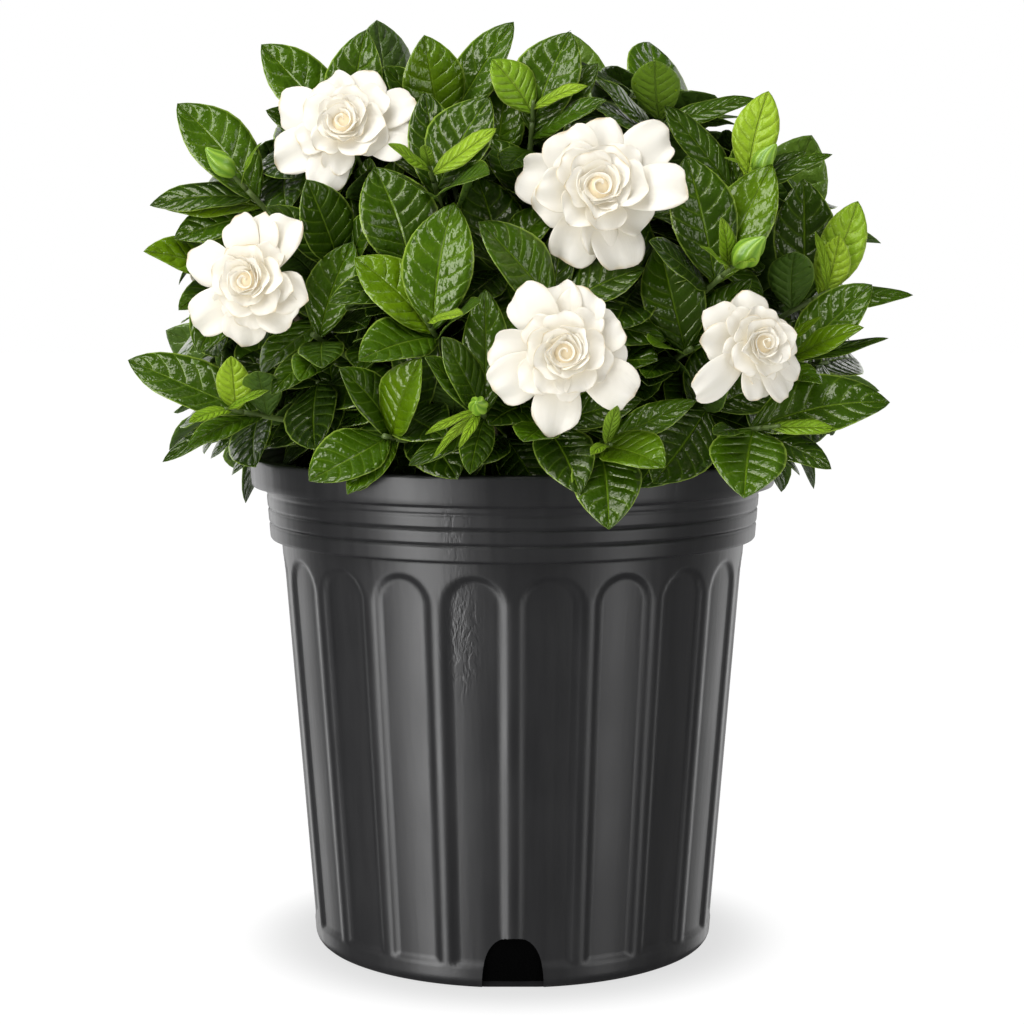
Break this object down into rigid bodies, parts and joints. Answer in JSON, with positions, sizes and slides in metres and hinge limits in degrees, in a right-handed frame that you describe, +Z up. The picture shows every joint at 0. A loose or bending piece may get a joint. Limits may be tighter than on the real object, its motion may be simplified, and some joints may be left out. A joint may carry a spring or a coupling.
{
  "type": "potted gardenia",
  "caption": "Flowering gardenia shrub with glossy leaves and double white blooms in a ribbed black nursery pot.",
  "frame": {"origin": "on the floor under the middle of the pot", "axes": "+Z up, -Y towards the side that the picture shows, +X to its right"},
  "size_m": [0.3944, 0.4138, 0.4931],
  "materials": {
    "pot_plastic": "satin black injection-moulded plastic",
    "potting_mix": "crumbly dark bark and peat mix",
    "bark": "grey-brown bark",
    "leaf_green": "glossy waxy leaf",
    "young_green": "glossy young leaf",
    "petal": "soft matt petal"
  },
  "bodies": {
    "root": {"bloom_01": "petal", "bloom_02": "petal", "bloom_03": "petal", "bloom_04": "petal", "bloom_05": "petal", "bloom_06": "petal", "bloom_07": "petal", "leafy_stem_01": "leaf_green", "leafy_stem_02": "leaf_green", "leafy_stem_03": "leaf_green", "leafy_stem_04": "leaf_green", "leafy_stem_05": "leaf_green", "leafy_stem_06": "leaf_green", "leafy_stem_07": "leaf_green", "leafy_stem_08": "leaf_green", "leafy_stem_09": "leaf_green", "leafy_stem_10": "leaf_green", "leafy_stem_11": "leaf_green", "leafy_stem_12": "leaf_green", "leafy_stem_13": "leaf_green", "leafy_stem_14": "leaf_green", "leafy_stem_15": "leaf_green", "leafy_stem_16": "leaf_green", "leafy_stem_17": "leaf_green", "leafy_stem_18": "leaf_green", "leafy_stem_19": "leaf_green", "leafy_stem_20": "leaf_green", "leafy_stem_21": "leaf_green", "leafy_stem_22": "leaf_green", "leafy_stem_23": "leaf_green", "leafy_stem_24": "leaf_green", "leafy_stem_25": "leaf_green", "leafy_stem_26": "leaf_green", "leafy_stem_27": "leaf_green", "leafy_stem_28": "leaf_green", "leafy_stem_29": "leaf_green", "leafy_stem_30": "leaf_green", "leafy_stem_31": "leaf_green", "leafy_stem_32": "leaf_green", "leafy_stem_33": "leaf_green", "leafy_stem_34": "leaf_green", "leafy_stem_35": "leaf_green", "leafy_stem_36": "leaf_green", "nursery_pot": "pot_plastic", "potting_soil": "potting_mix", "woody_stems": "bark", "young_tip_01": "young_green", "young_tip_02": "young_green", "young_tip_03": "young_green", "young_tip_04": "young_green", "young_tip_05": "young_green", "young_tip_06": "young_green", "young_tip_07": "young_green", "young_tip_08": "young_green", "young_tip_09": "young_green", "young_tip_10": "young_green", "young_tip_11": "young_green", "young_tip_12": "young_green"}
  },
  "joints": []
}
